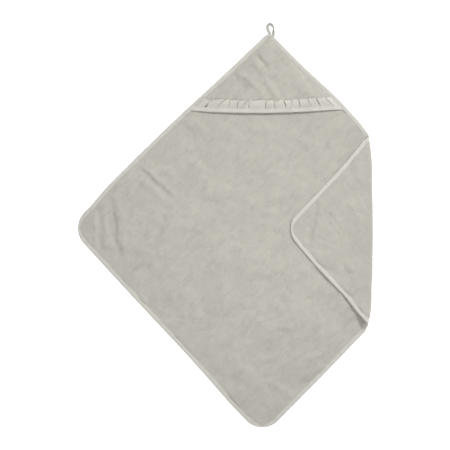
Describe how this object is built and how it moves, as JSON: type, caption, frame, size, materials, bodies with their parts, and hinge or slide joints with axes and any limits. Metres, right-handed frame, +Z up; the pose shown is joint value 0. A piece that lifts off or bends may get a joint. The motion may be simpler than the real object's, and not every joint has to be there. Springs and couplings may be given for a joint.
{
  "type": "hooded baby towel",
  "caption": "Square terry baby towel with bound edges, lying flat, with a frilled triangular hood at one corner, a hanging loop at its tip and one side corner turned over.",
  "frame": {"origin": "on the surface that the towel lies on, under the middle of its bounding box", "axes": "+Y towards the hood's tip and its hanging loop, +X towards the side with the turned-over corner, +Z up from the surface"},
  "size_m": [0.829, 1.136, 0.0175],
  "materials": {
    "terry": "matt looped cotton terry, warm light grey",
    "binding": "matt woven cotton tape, a little paler than the terry",
    "hem_tape": "matt woven cotton tape, pale warm grey",
    "frill": "matt crinkled cotton muslin, pale warm grey",
    "thread": "slightly lustrous sewing thread"
  },
  "bodies": {
    "towel": {"towel_panel": "terry", "edge_binding_right": "binding", "edge_binding_left": "binding", "edge_stitching_right": "thread", "edge_stitching_left": "thread", "loop_bar_tack": "thread"},
    "fold": {"corner_fold": "terry", "fold_binding_upper": "binding", "fold_binding_lower": "binding"},
    "corner": {"corner_flap": "terry", "flap_binding": "binding", "flap_stitching": "thread"},
    "hood": {"hood_panel": "terry", "hood_hem_binding": "hem_tape", "hood_ruffle": "frill", "hem_stitching": "thread", "ruffle_gathering_thread": "thread"},
    "loop": {"hanging_loop": "hem_tape"}
  },
  "joints": [
    {"name": "fold_unroll", "type": "hinge", "parent": "towel", "child": "fold", "pos_m": [0.41148, 0, 0.00297], "axis": [0, 1, 0], "range_deg": [0, 91], "deforming": ["corner_fold", "fold_binding_upper", "fold_binding_lower"]},
    {"name": "corner_unfold", "type": "hinge", "parent": "fold", "child": "corner", "pos_m": [0.41148, 0, 0.01303], "axis": [0, 1, 0], "range_deg": [0, 91]},
    {"name": "hood_open", "type": "hinge", "parent": "towel", "child": "hood", "pos_m": [0.12445, 0.52583, 0.0036], "axis": [-1, 0, 0], "range_deg": [0, 20]},
    {"name": "loop_swing", "type": "hinge", "parent": "towel", "child": "loop", "pos_m": [0.12795, 0.5366, 0.0029], "axis": [1, 0, 0], "range_deg": [0, 130]}
  ],
  "couplings": [
    {"joint": "fold_unroll", "follows": "corner_unfold", "ratio": 1}
  ]
}
